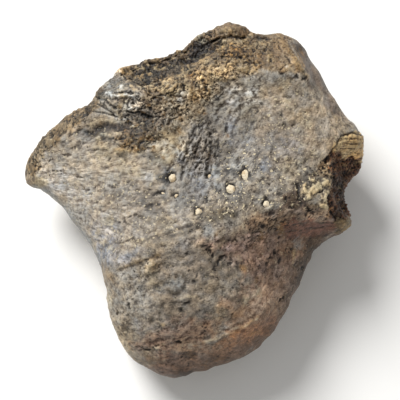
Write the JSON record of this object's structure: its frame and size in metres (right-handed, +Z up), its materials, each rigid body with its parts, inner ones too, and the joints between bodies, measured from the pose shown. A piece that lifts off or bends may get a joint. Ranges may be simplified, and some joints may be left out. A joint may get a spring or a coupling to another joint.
{
  "type": "fossil toe bone",
  "caption": "Weathered fossil toe bone of a large plant-eating dinosaur: broad hollowed back, rounded condyle, thin side flare and one broken corner.",
  "frame": {"origin": "middle of the bone's bounding box, on the surface it lies on", "axes": "+Z up from the sole to the back of the bone, +Y towards the proximal end that met the foot, -Y towards the rounded condyle, -X towards the thin flare, +X towards the broken corner"},
  "size_m": [0.0824, 0.0824, 0.0373],
  "materials": {
    "fossil_bone": "dull mineralised bone, rough and weathered"
  },
  "bodies": {
    "root": {"toe_bone": "fossil_bone"}
  },
  "joints": []
}
